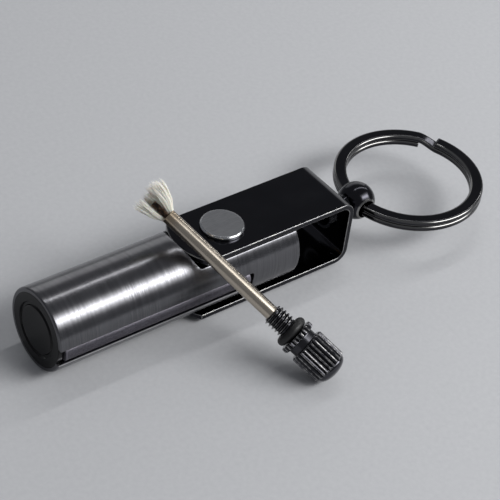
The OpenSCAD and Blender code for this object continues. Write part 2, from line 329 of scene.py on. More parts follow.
top_turns = np.linspace(-flat_turn, flat_turn, 41)
top_y = body_r * np.sin(top_turns)
shoulder_x = -np.sqrt(shoulder_r ** 2 - top_y ** 2)
corner_x = shoulder_x[0]
skin_x, skin_end = tail_x + tail_ease, mouth_x - mouth_ease
corner_at = slot_end - slot_corner
rows_tail = np.unique(np.concatenate([np.linspace(0, 1, 31), [
    (pocket_deep - tail_ease) / (corner_x - skin_x)]]))
rows_mid = rows_mouth = np.linspace(0, 1, 14)
mouth_half = math.sqrt((body_r - mouth_ease) ** 2 - flat_z ** 2)
patches = []
slot_x = corner_at + np.sqrt(np.clip(
    slot_corner ** 2 - np.clip(np.abs(slot_u) - (slot_half - slot_corner), 0, None) ** 2, 0, None))
for side in (0, math.pi):                      # top, then underneath
    sign = 1 if side == 0 else -1
    patches.append(skin(skin_x + (shoulder_x - skin_x) * rows_tail[:, None], body_r,
                        side + top_turns))
    # the shoulder's wall, from the flat up to the round
    rise = np.linspace(0, 1, 5)[:, None]
    z = flat_z + (np.sqrt(body_r ** 2 - top_y ** 2) - flat_z) * rise
    wall = np.stack(np.broadcast_arrays(shoulder_x, -sign * top_y, sign * z), -1)
    patches.append(grid(lift(wall)))
    # the flat, from the shoulder to the mouth, where its sides run in with the mouth's easing
    x = np.concatenate([shoulder_x + (corner_at - shoulder_x) * rows_mid[:-1, None],
                        corner_at + (skin_end - corner_at) * rows_mouth[:, None]
                        + 0 * shoulder_x, np.full((1, len(top_y)), mouth_x)])
    narrow = np.ones(len(x))
    narrow[-1] = mouth_half / flat_half
    flat = np.stack(np.broadcast_arrays(x, -sign * top_y * narrow[:, None], sign * flat_z), -1)
    patches.append(grid(lift(flat), along=x, around=np.broadcast_to(top_y, x.shape)))

mouth_turn = math.atan2(mouth_half, flat_z)
slot_low, slot_high = slot_turns(body_r)[[0, -1]]
sides = [(flat_turn, slot_low, 15), (slot_high, math.pi - flat_turn, 9),
         (math.pi + flat_turn, 2 * math.pi - flat_turn, 35)]
x_long = np.concatenate([skin_x + (corner_x - skin_x) * rows_tail[:-1],
                         corner_x + (corner_at - corner_x) * rows_mid[:-1],
                         corner_at + (skin_end - corner_at) * rows_mouth])
for start, end, n in sides:
    turns = np.linspace(start, end, n)
    patches.append(skin(np.broadcast_to(x_long[:, None], (len(x_long), n)), body_r, turns))
# beyond the slot's round end
slot_surface = slot_turns(body_r)
patches.append(skin(slot_x + (skin_end - slot_x) * rows_mouth[:, None], body_r, slot_surface))

# the mouth's easing and its face, in to the bore
mouth_knots = [flat_turn, slot_low, slot_high, math.pi - flat_turn,
               math.pi + flat_turn, 2 * math.pi - flat_turn]
moved_knots = [mouth_turn, slot_low, slot_high, math.pi - mouth_turn,
               math.pi + mouth_turn, 2 * math.pi - mouth_turn]


def bored(mouth_turns, tail_turns):
    """The bore's wall, from its columns at the mouth to those at the plug's pocket."""
    share = np.linspace(0, 1, 8)[:, None]
    return grid(lift(round_about(mouth_x + (tail_x + pocket_deep - mouth_x) * share, bore_r,
                                 mouth_turns + (tail_turns - mouth_turns) * share)))


for turns in [np.linspace(*s) for s in sides] + [slot_surface]:
    inner = np.interp(turns, mouth_knots, moved_knots)
    easing = np.stack([round_about(skin_end, body_r, turns),
                       round_about(mouth_x, body_r - mouth_ease, inner)])
    patches.append(grid(lift(easing)))
    face = np.stack([round_about(mouth_x, body_r - mouth_ease, inner),
                     round_about(mouth_x, (body_r - mouth_ease + bore_r) / 2, inner),
                     round_about(mouth_x, bore_r, inner)])
    patches.append(grid(lift(face)))
    patches.append(bored(inner, turns))
for side in (0, math.pi):
    sign = 1 if side == 0 else -1
    edge_y, edge_z = -sign * top_y * mouth_half / flat_half, np.full(len(top_y), sign * flat_z)
    turn = np.arctan2(-edge_y, edge_z)
    if sign < 0:
        turn = np.mod(turn, 2 * math.pi)
    outline = np.stack([np.full(len(top_y), mouth_x), edge_y, edge_z], -1)
    ring = round_about(mouth_x, bore_r, turn)
    patches.append(grid(lift(np.stack([outline, (outline + ring) / 2, ring]))))
    patches.append(bored(turn, side + top_turns))

# the slot's two walls, its end and its floor
wall_x = x_long[x_long <= corner_at + 1e-9]
slot_axis = np.array([0, -math.sin(slot_turn), math.cos(slot_turn)])
slot_side = np.array([0, -math.cos(slot_turn), -math.sin(slot_turn)])


def in_slot(x, u, h):
    """A point x along the slot, u across it and h out from the body's axis."""
    x, u, h = np.broadcast_arrays(x, u, h)
    return np.stack([x, 0 * x, 0 * x], -1) + u[..., None] * slot_side + h[..., None] * slot_axis


def reach(r, u):
    """How far out along the slot's own direction a circle of radius r is, u across."""
    return np.sqrt(r ** 2 - u ** 2)


pocket_floor = tail_x + pocket_deep
deep_x = wall_x[wall_x >= pocket_floor - 1e-9]
near_x = wall_x[wall_x <= pocket_floor + 1e-9]
for u in (-slot_half, slot_half):
    levels = np.array([reach(body_r, u), reach(pocket_r, u), slot_floor])
    patches.append(grid(lift(in_slot(deep_x[:, None], u, levels[None, :]))))
    patches.append(grid(lift(in_slot(near_x[:, None], u, levels[None, :2]))))
    rim = np.array([[reach(body_r, u), reach(pocket_r, u)],
                    [reach(body_r - tail_ease, u), reach(pocket_r, u)]])
    patches.append(grid(lift(in_slot(np.array([[skin_x], [tail_x]]), u, rim))))
levels = np.stack([reach(body_r, slot_u), reach(pocket_r, slot_u),
                   np.full(len(slot_u), slot_floor)])
patches.append(grid(lift(in_slot(slot_x[None, :], slot_u[None, :], levels))))
floor_x = np.concatenate([np.broadcast_to(deep_x[:-1, None], (len(deep_x) - 1, len(slot_u))),
                          corner_at + (slot_x - corner_at) * np.linspace(0, 1, 2)[:, None]])
patches.append(grid(lift(in_slot(floor_x, slot_u[None, :], slot_floor))))

# the tail: its eased rim, the plug's pocket and the pocket's floor, all cut through by the slot
def opened(turns, r):
    """The same columns on a circle of radius r, moved so that the slot's sides stay parallel."""
    low, high = slot_turn - math.asin(slot_half / r), slot_turn + math.asin(slot_half / r)
    return turns + np.interp(turns, [flat_turn, slot_low, slot_high, math.pi - flat_turn],
                             [0, low - slot_low, high - slot_high, 0])


for turns in [top_turns, math.pi + top_turns] + [np.linspace(*s) for s in sides]:
    mid_r = math.hypot(slot_floor, slot_half)
    rings = [round_about(skin_x, body_r, turns),
             round_about(tail_x, body_r - tail_ease, opened(turns, body_r - tail_ease)),
             round_about(tail_x, pocket_r, opened(turns, pocket_r)),
             round_about(skin_x, pocket_r, opened(turns, pocket_r)),
             round_about(pocket_floor, pocket_r, opened(turns, pocket_r)),
             round_about(pocket_floor, mid_r, opened(turns, mid_r)),
             round_about(pocket_floor, bore_r, turns)]
    patches.append(grid(lift(np.stack(rings))))
inner = round_about(pocket_floor, bore_r, slot_surface)
patches.append(grid(lift(np.stack([in_slot(pocket_floor, slot_u, slot_floor), inner]))))


def on_the_round(points):
    """Points that lie on the body's round outside."""
    return np.abs(np.hypot(points[:, 1], points[:, 2] - axis_height) - body_r) < 1e-3


def on_the_lower_lip(points):
    """Of those, the points on the slot's lower edge."""
    across = (points - [0, 0, axis_height]) @ slot_side
    return on_the_round(points) & (np.abs(across - slot_half) < 1e-3) & (points[:, 1] < 0)


body = build("body_tube", patches, gunmetal,
             rounds=[(0.2, on_the_lower_lip, 1), (0.1, on_the_round, 0)])
body.data.materials.append(slot_lip_painted_highlight)
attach(body, "fuel_body")
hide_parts("body_shell")


# ---- End plug and its seal ------------------------------------------------------------------
# A disc that closes the tail, with a ring turned into its face; a spigot behind it carries a
# rubber seal into the bore. Turned from nylon and polished black.
def eased(outline, ease, steps=4):
    """A profile with its corners rounded: each corner with an ease of e gives way to an arc that
    starts e before it and ends e after it, with a short straight lead on either side."""
    outline = np.asarray(outline, float)
    made = [outline[:1]]
    for before, corner, after, e in zip(outline[:-2], outline[1:-1], outline[2:], ease[1:-1]):
        if not e:
            made.append(corner[None])
            continue
        back = (before - corner) / np.linalg.norm(before - corner)
        on = (after - corner) / np.linalg.norm(after - corner)
        t = np.linspace(0, 1, steps + 1)[:, None]
        arc = corner + back * e * (1 - t) ** 2 + on * e * t ** 2
        made.append(np.concatenate([[corner + back * e * 1.2], arc, [corner + on * e * 1.2]]))
    made.append(outline[-1:])
    return np.concatenate(made)


def turned(profile, columns=96):
    """A body of revolution: the profile's points, x along the axis and r out from it, carried
    round the X axis."""
    profile = np.asarray(profile, float)
    turns = np.linspace(0, 2 * math.pi, columns + 1)
    points = round_about(profile[:, :1], profile[:, 1:], turns[None, :])
    walked = np.concatenate([[0], np.cumsum(np.linalg.norm(np.diff(profile, axis=0), axis=1))])
    return grid(points, around=turns[None, :] * profile[:, 1].max(), along=walked[:, None])


def placed(patch, turn=np.eye(3), offset=(0, 0, 0)):
    """A patch turned by a matrix and moved."""
    points, flat = patch
    return points @ np.asarray(turn).T + np.asarray(offset), flat


black_nylon, tree = new_finish("polished_black_nylon")
# Nylon, turned and polished: a deep black with a plain shine, dulled by fine rubbing.
place = add(tree, "TexCoord").outputs["Object"]
rubbed = add(tree, "TexNoise", {"Vector": place, "Scale": 1000 / 1.6, "Detail": 4.0})
shader = add(tree, "BsdfPrincipled", {
    "Base Color": add(tree, "Mix", {0: rubbed, 6: hex_colour("050506"), 7: hex_colour("0B0B0D")},
        data_type="RGBA").outputs[2],
    "Roughness": add(tree, "MapRange", {0: rubbed, 1: 0.3, 2: 0.7, 3: 0.1, 4: 0.22}),
    "IOR": 1.40, "Specular IOR Level": 0.3})
add(tree, "OutputMaterial", {"Surface": shader})

seal_rubber, tree = new_finish("nitrile_rubber")
# Moulded nitrile rubber: soft black with a low, broad shine and a faint bloom.
place = add(tree, "TexCoord").outputs["Object"]
bloom = add(tree, "TexNoise", {"Vector": place, "Scale": 1000 / 0.5, "Detail": 3.0})
shader = add(tree, "BsdfPrincipled", {
    "Base Color": add(tree, "Mix", {0: bloom, 6: hex_colour("0B0B0B"), 7: hex_colour("161617")},
        data_type="RGBA").outputs[2],
    "Roughness": add(tree, "MapRange", {0: bloom, 1: 0.3, 2: 0.7, 3: 0.42, 4: 0.58}),
    "Normal": add(tree, "Bump", {"Height": bloom, "Distance": 0.00001, "Strength": 0.3})})
add(tree, "OutputMaterial", {"Surface": shader})

plug_low, plug_high = box_mm("end_plug")
flange_r = (plug_high - plug_low)[2] / 2
spigot_r = bore_r - 0.02
plug_x, spigot_x = plug_low[0], plug_high[0]
ring_in, ring_out, ring_deep = 4.3, 5.1, 0.3   # the ring turned into the face
seal_from, seal_to, seal_floor = 3.5, 4.5, 2.35              # the seal's groove in the spigot
plug_outline = [(0, 0), (0, ring_in), (ring_deep, ring_in + 0.2), (ring_deep, ring_out - 0.2),
                (0, ring_out), (0, flange_r), (pocket_deep, flange_r), (pocket_deep, spigot_r),
                (seal_from, spigot_r), (seal_from, seal_floor), (seal_to, seal_floor),
                (seal_to, spigot_r), (spigot_x - plug_x, spigot_r), (spigot_x - plug_x, 0)]
plug_profile = eased(plug_outline, [0, 0.08, 0.06, 0.06, 0.08, 0.16, 0.05, 0.05, 0.05, 0.05, 0.05,
                                    0.05, 0.2, 0])
end_plug = build("tail_plug", [placed(turned(plug_profile), offset=(plug_x, 0, axis_height))],
                 black_nylon)
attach(end_plug, "fuel_body")
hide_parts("end_plug")

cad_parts["plug_seal"].material_slots[0].material = seal_rubber


# ---- Striking rod ---------------------------------------------------------------------------
# Ferrocerium, pressed and drawn into a rod and glued into the slot: a dull grey with a faint
# violet cast, drawn lines along it and a few bright scrapes where the blade has struck it.
ferrocerium, tree = new_finish("drawn_ferrocerium")
place = add(tree, "TexCoord").outputs["Object"]
drawn = add(tree, "TexNoise", {"Vector": add(tree, "Mapping", {"Vector": place,
    "Scale": (1000 / 9, 1000 / 0.16, 1000 / 0.16)}), "Scale": 1.0, "Detail": 3.0})
pores = add(tree, "TexNoise", {"Vector": place, "Scale": 1000 / 0.28, "Detail": 4.0})
strikes = add(tree, "MapRange", {0: add(tree, "TexNoise", {"Vector": add(tree, "Mapping",
    {"Vector": place, "Scale": (1000 / 0.5, 1000 / 3, 1000 / 3)}), "Scale": 1.0, "Detail": 2.0}),
    1: 0.6, 2: 0.75, 3: 0.0, 4: 0.7})
skin_tone = add(tree, "Mix", {0: drawn, 6: hex_colour("6A6870"), 7: hex_colour("8B8891")},
    data_type="RGBA").outputs[2]
skin_tone = add(tree, "Mix", {0: add(tree, "MapRange", {0: pores, 1: 0.5, 2: 0.75, 3: 0.0,
    4: 0.5}), 6: skin_tone, 7: hex_colour("3A373D")}, data_type="RGBA").outputs[2]
skin_tone = add(tree, "Mix", {0: strikes, 6: skin_tone, 7: hex_colour("86838C")},
    data_type="RGBA").outputs[2]
height = add(tree, "Math", {0: drawn, 1: pores}, operation="ADD")
shader = add(tree, "BsdfPrincipled", {
    "Base Color": skin_tone, "Metallic": 0.85,
    "Roughness": add(tree, "MapRange", {0: drawn, 1: 0.3, 2: 0.7, 3: 0.34, 4: 0.5}),
    "Normal": add(tree, "Bump", {"Height": height, "Distance": 0.00002, "Strength": 0.35})})
add(tree, "OutputMaterial", {"Surface": shader})

rod_r, rod_rows = 1.65, 24
rod_l = rod_high[0] - rod_low[0]
rod_profile = eased([(0, 0), (0, rod_r), (rod_l, rod_r), (rod_l, 0)], [0, 0.25, 0.5, 0], 6)
straight = np.stack([np.linspace(1, rod_l - 1, rod_rows), np.full(rod_rows, rod_r)], 1)
# The rows go in two points too early, so the skin doubles back and lies threefold between the
# rounded ends. A cut after 10 points would lay it once; the rod would then look a little paler.
rod_cut = 8
rod_profile = np.concatenate([rod_profile[:rod_cut], straight, rod_profile[rod_cut:]])
rod_middle = slot_axis * (body_r - rod_r) + [rod_low[0], 0, axis_height]
rod = build("striking_rod", [placed(turned(rod_profile, 64), offset=rod_middle)], ferrocerium)
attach(rod, "fuel_body")
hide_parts("ferro_rod")


# ---- Brass inside ---------------------------------------------------------------------------
# A brass bush in the mouth, tapped M4 for the match, with a wide seat for the match's seal, and
# the perforated brass tube behind it that the stem slides down. Cotton round it holds the fuel.
turned_brass, tree = new_finish("turned_brass")
# Free-cutting brass straight from the tool: bright yellow, with turning lines and dull patches.
place = add(tree, "TexCoord").outputs["Object"]
tool_lines = add(tree, "TexNoise", {"Vector": add(tree, "Mapping", {"Vector": place,
    "Scale": (1000 / 0.15, 1000 / 6, 1000 / 6)}), "Scale": 1.0, "Detail": 3.0})
dulled = add(tree, "TexNoise", {"Vector": place, "Scale": 1000 / 3, "Detail": 3.0})
shader = add(tree, "BsdfPrincipled", {
    "Base Color": add(tree, "Mix", {0: dulled, 6: hex_colour("D8B565"), 7: hex_colour("A98447")},
        data_type="RGBA").outputs[2],
    "Metallic": 1.0,
    "Roughness": add(tree, "MapRange", {0: tool_lines, 1: 0.3, 2: 0.7, 3: 0.2, 4: 0.34}),
    "Normal": add(tree, "Bump", {"Height": tool_lines, "Distance": 0.00001, "Strength": 0.4})})
add(tree, "OutputMaterial", {"Surface": shader})


def threaded(start, end, root, crest, lead=0.4):
    """An M4 screw thread as radius over the length and the turn: a ridge that climbs by one pitch
    in each turn and goes evenly up and down between root and crest, fading out over `lead` at
    each end. Returns the grid and how near each point is to the crest."""
    pitch, rows_per_pitch, columns = 0.7, 16, 96
    x = np.linspace(start, end, int((end - start) / pitch * rows_per_pitch) + 1)[:, None]
    turns = np.linspace(0, 2 * math.pi, columns + 1)[None, :]
    phase = np.mod(x / pitch - turns / (2 * math.pi), 1)
    ridge = np.clip(1.25 - np.abs(phase - 0.5) * 3.4, 0, 1)
    fade = np.clip(np.minimum(x - start, end - x) / lead, 0, 1)
    r = root + (crest - root) * ridge * fade
    points = round_about(x, r, turns)
    return grid(points, around=turns * crest, along=x), np.broadcast_to(ridge * fade, r.shape)


bush_low, bush_high = box_mm("neck_bush")
bush_x, bush_mouth = bush_low[0], bush_high[0]
seat_r, seat_deep, tapping_r, thread_r = 2.75, 1.3, 1.65, 1.98
bush_r = bore_r - 0.01
thread_patch, _ = threaded(bush_x + 0.2, bush_mouth - seat_deep - 0.1, tapping_r, thread_r)
outer = eased([(bush_x + 0.2, tapping_r), (bush_x, tapping_r + 0.2), (bush_x, bush_r),
               (bush_mouth, bush_r), (bush_mouth, seat_r), (bush_mouth - seat_deep, seat_r),
               (bush_mouth - seat_deep, tapping_r + 0.1),
               (bush_mouth - seat_deep - 0.1, tapping_r)], [0, 0, 0.1, 0.1, 0.1, 0.05, 0, 0])
bush = build("mouth_bush", [placed(thread_patch, offset=(0, 0, axis_height)),
                            placed(turned(outer), offset=(0, 0, axis_height))], turned_brass)
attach(bush, "fuel_body")
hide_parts("neck_bush")

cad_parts["guide_tube"].material_slots[0].material = turned_brass

packed_cotton, tree = new_finish("packed_cotton")
# Cotton wadding, teased and packed: off-white, matt and tufted.
place = add(tree, "TexCoord").outputs["Object"]
tufts = add(tree, "TexNoise", {"Vector": add(tree, "Mapping", {"Vector": place,
    "Scale": (1000 / 0.8, 1000 / 0.3, 1000 / 0.3)}), "Scale": 1.0, "Detail": 5.0})
shader = add(tree, "BsdfPrincipled", {
    "Base Color": add(tree, "Mix", {0: tufts, 6: hex_colour("D9D2C0"), 7: hex_colour("F3EEE2")},
        data_type="RGBA").outputs[2],
    "Roughness": 0.9, "Sheen Weight": 0.3,
    "Normal": add(tree, "Bump", {"Height": tufts, "Distance": 0.0002, "Strength": 0.8})})
add(tree, "OutputMaterial", {"Surface": shader})
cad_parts["fuel_wadding"].material_slots[0].material = packed_cotton


# ---- Pivots ---------------------------------------------------------------------------------
# Above and below, a thin steel washer lies on the flat, and a shouldered rivet with a wide flat
# head holds the strap's leg on it. The faces are satin; the turned rims are left bright.
satin_steel, tree = new_finish("faced_satin_steel")
# Steel, faced with a fine grey pad: broad soft shine with short scuffs in no one direction.
place = add(tree, "TexCoord").outputs["Object"]
scuffs = add(tree, "TexNoise", {"Vector": add(tree, "Mapping", {"Vector": place,
    "Scale": (1000 / 1.2, 1000 / 0.09, 1000 / 0.4)}), "Scale": 1.0, "Detail": 4.0})
clouds = add(tree, "TexNoise", {"Vector": place, "Scale": 1000 / 2.2, "Detail": 3.0})
face_tone = add(tree, "Mix", {0: add(tree, "MapRange", {0: scuffs, 1: 0.3, 2: 0.7, 3: 0.0,
    4: 1.0}), 6: hex_colour("76777A"), 7: hex_colour("8A8B8D")}, data_type="RGBA").outputs[2]
face_tone = add(tree, "Mix", {0: add(tree, "MapRange", {0: clouds, 1: 0.3, 2: 0.7, 3: 0.0,
    4: 0.35}), 6: face_tone, 7: hex_colour("66676A")}, data_type="RGBA").outputs[2]
shader = add(tree, "BsdfPrincipled", {
    "Base Color": face_tone, "Metallic": 1.0,
    "Roughness": add(tree, "MapRange", {0: clouds, 1: 0.3, 2: 0.7, 3: 0.34, 4: 0.44}),
    "Normal": add(tree, "Bump", {"Height": scuffs, "Distance": 0.000006, "Strength": 0.35})})
add(tree, "OutputMaterial", {"Surface": shader})

bright_steel, tree = new_finish("turned_bright_steel")
# The same steel where the tool left it: brighter, with fine rings.
place = add(tree, "TexCoord").outputs["Object"]
rings = add(tree, "TexNoise", {"Vector": add(tree, "Mapping", {"Vector": place,
    "Scale": (1000 / 0.2, 1000 / 0.2, 1000 / 0.05)}), "Scale": 1.0, "Detail": 3.0})
shader = add(tree, "BsdfPrincipled", {
    "Base Color": add(tree, "Mix", {0: rings, 6: hex_colour("A9AAAC"), 7: hex_colour("C4C5C6")},
        data_type="RGBA").outputs[2],
    "Metallic": 1.0,
    "Roughness": add(tree, "MapRange", {0: rings, 1: 0.3, 2: 0.7, 3: 0.12, 4: 0.24})})
add(tree, "OutputMaterial", {"Surface": shader})

upright = np.array([[0, 0, -1], [0, 1, 0], [1, 0, 0]])      # carries +X up to +Z
hole_r, shank_end_r = 1.6, 1.2
head_under, shank_deep = 6.75, 1.3             # the head's underside, and the shank in the body
for where, sign in (("top", 1), ("bottom", -1)):
    flip = np.diag([1, sign, sign]).astype(float)
    stand = flip @ upright
    low, high = box_mm("pivot_washer_" + where)
    washer_r, washer_t = (high - low)[0] / 2, (high - low)[2]
    ring = eased([(0, hole_r), (0, washer_r), (washer_t, washer_r), (washer_t, hole_r)],
                 [0, 0.1, 0.1, 0])
    ring = np.concatenate([ring, ring[:1]])
    washer = build("pivot_washer_ring_" + where,
                   [placed(turned(ring), stand, (0, 0, axis_height + sign * flat_z))],
                   bright_steel)
    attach(washer, "fuel_body")
    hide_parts("pivot_washer_" + where)

    low, high = box_mm("pivot_rivet_" + where)
    head_r, head_top = (high - low)[0] / 2, body_r
    stud = eased([(flat_z - shank_deep, 0), (flat_z - shank_deep, shank_end_r),
                  (flat_z, shank_end_r), (flat_z, hole_r),
                  (head_under, hole_r), (head_under, head_r), (head_top - 0.28, head_r),
                  (head_top, head_r - 0.24), (head_top, 0)],
                 [0, 0.15, 0, 0, 0, 0.06, 0.08, 0.06, 0])
    rivet = build("pivot_head_" + where,
                  [placed(turned(stud, 128), stand, (0, 0, axis_height))], satin_steel)
    rivet.data.materials.append(bright_steel)
    centres = np.zeros(len(rivet.data.polygons) * 3)
    rivet.data.polygons.foreach_get("center", centres)
    centres = centres.reshape(-1, 3) / MM
    rim = np.hypot(centres[:, 0], centres[:, 1]) > head_r - 0.3
    rivet.data.polygons.foreach_set("material_index", rim.astype(np.int32))
    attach(rivet, "fuel_body")
    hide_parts("pivot_rivet_" + where)


# ---- Strap ----------------------------------------------------------------------------------
# One blank of 1 mm sheet steel, pierced, bent twice into a U and plated black nickel. Its sheared
# edges are rounded and paler: partly rubbed wear, partly a painted highlight.
black_nickel, tree = new_finish("polished_black_nickel")
# Black nickel over polished steel: a mirror that gives back little light, with faint wiping marks
# and hairlines that only show beside a reflection. It is paler where the attribute is high: a
# painted highlight on the ring's wire edges, the bead's hole lip and the collar's rim.
place = add(tree, "TexCoord").outputs["Object"]
wiped = add(tree, "TexNoise", {"Vector": add(tree, "Mapping", {"Vector": place,
    "Scale": (1000 / 7, 1000 / 5, 1000 / 5)}), "Scale": 1.0, "Detail": 3.0})
hairlines = add(tree, "TexNoise", {"Vector": add(tree, "Mapping", {"Vector": place,
    "Scale": (1000 / 5, 1000 / 0.07, 1000 / 0.5)}), "Scale": 1.0, "Detail": 2.0})
painted_edge_highlight = add(tree, "Attribute", attribute_name="wear_and_painted_light").outputs["Fac"]
plate = add(tree, "Mix", {0: wiped, 6: hex_colour("2C2C30"), 7: hex_colour("343438")},
    data_type="RGBA").outputs[2]
shader = add(tree, "BsdfPrincipled", {
    "Base Color": add(tree, "Mix", {0: painted_edge_highlight, 6: plate, 7: hex_colour("8F8E8C")},
        data_type="RGBA").outputs[2],
    "Metallic": 1.0,
    "Roughness": add(tree, "MapRange", {0: wiped, 1: 0.3, 2: 0.7, 3: 0.08, 4: 0.16}),
    "Normal": add(tree, "Bump", {"Height": hairlines, "Distance": 0.000002, "Strength": 0.2})})
add(tree, "OutputMaterial", {"Surface": shader})

edge_nickel_worn_and_painted, tree = new_finish("edge_nickel_wear_and_painted_highlight")
# The same plate on the sheared edges: thinner, paler and a little rough, partly where the pocket
# has rubbed it and partly as a painted highlight.
place = add(tree, "TexCoord").outputs["Object"]
rub = add(tree, "TexNoise", {"Vector": place, "Scale": 1000 / 1.5, "Detail": 3.0})
shader = add(tree, "BsdfPrincipled", {
    "Base Color": add(tree, "Mix", {0: add(tree, "MapRange", {0: rub, 1: 0.35, 2: 0.65, 3: 0.0,
        4: 1.0}), 6: hex_colour("77777A"), 7: hex_colour("A3A29F")},
        data_type="RGBA").outputs[2],
    "Metallic": 1.0,
    "Roughness": add(tree, "MapRange", {0: rub, 1: 0.3, 2: 0.7, 3: 0.2, 4: 0.3})})
add(tree, "OutputMaterial", {"Surface": shader})

strap_low, strap_high = box_mm("strap")
sheet_t = 1.0
half_w = (strap_high - strap_low)[1] / 2
leg_z = (strap_high - strap_low)[2] / 2 - sheet_t / 2
wall_x = strap_high[0] - sheet_t / 2
bend_mid = 2.6 - sheet_t / 2                   # the bend's radius, in the middle of the sheet
leg_end_r = -strap_low[0]
bend_x, bend_z = wall_x - bend_mid, leg_z - bend_mid
pivot_hole, shank_hole = 1.65, 1.5


def around_hole(edge, r, rings):
    """From a round hole out to a closed edge: points straight between the circle and the edge."""
    turn = np.arctan2(edge[:, 1], edge[:, 0])
    circle = r * np.stack([np.cos(turn), np.sin(turn)], 1)
    share = np.linspace(0, 1, rings)[:, None, None] ** 1.2
    return circle + (edge - circle) * share


cross = np.linspace(-half_w, half_w, 17)
corner_angle = math.pi - math.asin(half_w / leg_end_r)
sweep = np.linspace(corner_angle, 2 * math.pi - corner_angle, 17)
left_x = leg_end_r * math.cos(corner_angle)
leg_edge = np.concatenate([
    np.stack([np.full(17, half_w), cross], 1),
    np.stack([np.linspace(half_w, left_x, 14)[1:-1], np.full(12, half_w)], 1),
    leg_end_r * np.stack([np.cos(sweep), np.sin(sweep)], 1),
    np.stack([np.linspace(left_x, half_w, 14)[1:], np.full(13, -half_w)], 1)])
wall_edge = np.concatenate([
    np.stack([cross, np.full(17, bend_z)], 1),
    np.stack([np.full(9, half_w), np.linspace(bend_z, -bend_z, 11)[1:-1]], 1),
    np.stack([cross[::-1], np.full(17, -bend_z)], 1),
    np.stack([np.full(9, -half_w), np.linspace(-bend_z, bend_z, 11)[1:-1]], 1)])
wall_edge = np.concatenate([wall_edge, wall_edge[:1]])
strap_patches = []
for sign in (1, -1):
    leg = around_hole(leg_edge, pivot_hole, 7)
    points = np.concatenate([leg, np.full((*leg.shape[:2], 1), sign * leg_z)], -1)
    strap_patches.append(grid(lift(points), along=leg[..., 0], around=leg[..., 1]))
    x = np.concatenate([np.linspace(half_w, bend_x - 0.15, 10), [bend_x]])
    straight = np.stack(np.broadcast_arrays(x[:, None], cross[None, :], sign * leg_z), -1)
    strap_patches.append(grid(lift(straight), along=x[:, None], around=cross[None, :]))
    a = np.linspace(0, math.pi / 2, 13)
    bend = np.stack(np.broadcast_arrays((bend_x + bend_mid * np.sin(a))[:, None], cross[None, :],
                                        sign * (bend_z + bend_mid * np.cos(a))[:, None]), -1)
    strap_patches.append(grid(lift(bend), along=(bend_x + bend_mid * a)[:, None],
                              around=cross[None, :]))
wall = around_hole(wall_edge, shank_hole, 5)
strap_patches.append(grid(lift(np.stack([np.full(wall.shape[:2], wall_x), wall[..., 0],
                                         wall[..., 1]], -1)),
                          along=wall[..., 1], around=wall[..., 0]))
strap = build("u_strap", strap_patches, black_nickel)
strap.data.materials.append(edge_nickel_worn_and_painted)
gauge = strap.modifiers.new("sheet_thickness", "SOLIDIFY")
gauge.thickness, gauge.offset = sheet_t * MM, 0
gauge.use_even_offset = True
sheared = strap.modifiers.new("rounded_edges", "BEVEL")
sheared.width, sheared.segments, sheared.material = 0.13 * MM, 3, 1
sheared.limit_method, sheared.angle_limit = "ANGLE", math.radians(50)
sheared.harden_normals = True
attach(strap, "strap")
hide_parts("strap")


# ---- Ball swivel ----------------------------------------------------------------------------
# A turned steel bead with a shank: the collar stands outside the strap's end wall, the shank is
# peened over a washer inside it, and the bead is cross-drilled for the ring. Black nickel.
swivel_low, swivel_high = box_mm("swivel_ball")
bead_r = (swivel_high - swivel_low)[2] / 2
bead_x = swivel_high[0] - bead_r
ring_hole = 1.75
lip_from, lip_to = 2.85, math.radians(33)
t = np.linspace(0, 1, 8)[1:-1, None]
lip_start = np.array([lip_from, ring_hole])
lip_end = bead_r * np.array([math.cos(lip_to), math.sin(lip_to)])
lip_corner = np.array([3.06, ring_hole])
lip = lip_start * (1 - t) ** 2 + 2 * lip_corner * t * (1 - t) + lip_end * t ** 2
arc = np.linspace(lip_to, math.pi - lip_to, 41)
outer = bead_r * np.stack([np.cos(arc), np.sin(arc)], 1)
bore = np.stack([np.linspace(-lip_from, lip_from, 9), np.full(9, ring_hole)], 1)
bead_profile = np.concatenate([bore, lip, outer, lip[::-1] * [-1, 1], bore[:1]])
# Painted highlight: the hole's lip is made paler, to show as a bright rim round the ring.
hole_lip_painted_highlight = np.where((np.abs(bead_profile[:, 0]) > 2.5) & (bead_profile[:, 1] < 2.15), 0.9, 0.0)
to_y = np.array([[0, -1, 0], [1, 0, 0], [0, 0, 1.0]])       # carries +X round to +Y
bead = placed(turned(bead_profile, 96), to_y, (bead_x, 0, axis_height))

wall_out, wall_in = strap_high[0], strap_high[0] - sheet_t
neck_r, collar_r, shank_r = 1.7, 2.55, 1.45
peened = [(wall_in - 1.1, 0), (wall_in - 1.08, 0.9), (wall_in - 1.0, 1.5), (wall_in - 0.9, 1.9),
          (wall_in - 0.8, 2.08), (wall_in - 0.75, 2.0), (wall_in - 0.75, shank_r)]
collar_x, collar_end = wall_out + 0.05, wall_out + 0.95
collar = eased([(collar_x, shank_r), (collar_x, collar_r), (collar_end, collar_r),
                (collar_end, neck_r),
                (wall_out + 1.6, neck_r)], [0, 0.2, 0.32, 0.22, 0], 6)
flare_x = np.linspace(wall_out + 2.0, bead_x - 2.6, 7)
flare = np.stack([flare_x, neck_r + 0.45 * np.linspace(0, 1, 7) ** 2], 1)
neck_profile = np.concatenate([peened, collar, flare, [(bead_x - 2.3, 1.9), (bead_x - 2.3, 0)]])
neck = placed(turned(neck_profile, 96), offset=(0, 0, axis_height))
# Painted highlight: the collar's rounded rim is made a little paler.
collar_painted_highlight = np.where(np.hypot(neck_profile[:, 0] - wall_out - 0.8, neck_profile[:, 1]
                                  - collar_r + 0.1) < 0.3, 0.5, 0.0)
ball = build("ball_swivel_turned", [bead, neck], black_nickel,
             values=[hole_lip_painted_highlight[:, None], collar_painted_highlight[:, None]])
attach(ball, "ball_swivel")
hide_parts("swivel_ball")

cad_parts["swivel_washer"].material_slots[0].material = bright_steel


